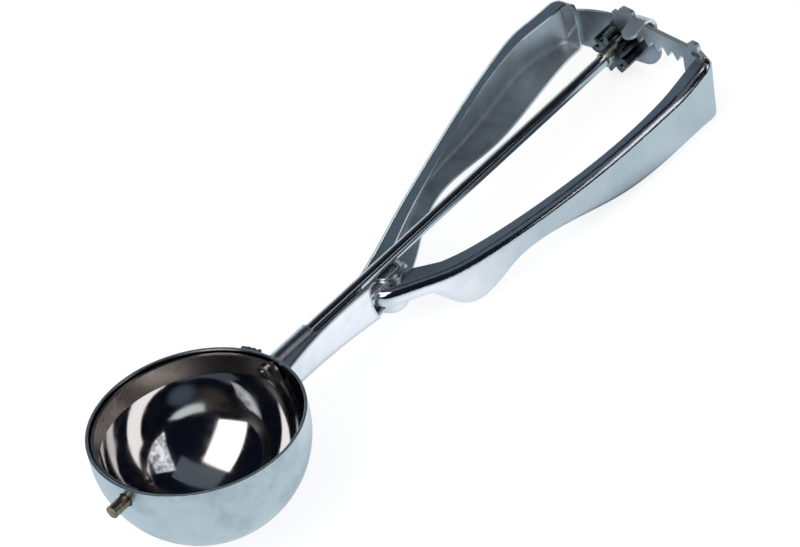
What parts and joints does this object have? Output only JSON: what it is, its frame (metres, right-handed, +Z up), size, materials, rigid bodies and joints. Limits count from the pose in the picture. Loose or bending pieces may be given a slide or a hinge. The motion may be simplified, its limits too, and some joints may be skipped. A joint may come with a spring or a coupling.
{
  "type": "ice cream scoop",
  "caption": "Polished steel lever scoop: squeezing the lever to the fixed handle drives a rack and pinion that sweeps a scraper blade round the inside of the bowl.",
  "frame": {"origin": "on the table, under the middle of the box round the whole tool, which lies with the mouth of the bowl up on the bowl and the lower edges of both handles", "axes": "+Z up, +Y from the bowl to the free ends of the handles, +X to the lever's side"},
  "size_m": [0.0655, 0.2154, 0.0361],
  "materials": {
    "polished_steel": "pressed stainless steel, mirror polished",
    "satin_steel": "stamped stainless steel, finely brushed",
    "drawn_steel": "drawn and cut stainless steel, bright",
    "spring_steel": "spring wire, bright drawn",
    "weld_steel": "weld metal, left as laid"
  },
  "bodies": {
    "scoop": {"bowl": "polished_steel", "stem": "polished_steel", "weld_run": "weld_steel", "fixed_handle": "polished_steel", "end_bracket": "satin_steel", "pivot_rivet": "polished_steel", "torsion_spring": "spring_steel"},
    "lever_arm": {"lever": "polished_steel", "rack": "satin_steel"},
    "scraper": {"spindle": "drawn_steel", "collar": "drawn_steel", "pinion": "drawn_steel", "scraper_blade": "satin_steel", "tip_pin": "drawn_steel"}
  },
  "joints": [
    {"name": "lever_squeeze", "type": "hinge", "parent": "scoop", "child": "lever_arm", "pos_m": [-0.00396, 0.00093, 0.01992], "axis": [0, 0.1184, 0.993], "range_deg": [0, 9], "stiffness_Nm_per_rad": 1.28, "springref_deg": -16.04, "deforming": ["torsion_spring"]},
    {"name": "spindle_turn", "type": "hinge", "parent": "scoop", "child": "scraper", "pos_m": [-0.00396, -0.07354, 0.0288], "axis": [0, 0.993, -0.1184], "range_deg": [-176.2, 0]}
  ],
  "couplings": [
    {"joint": "spindle_turn", "follows": "lever_squeeze", "ratio": -19.562}
  ]
}
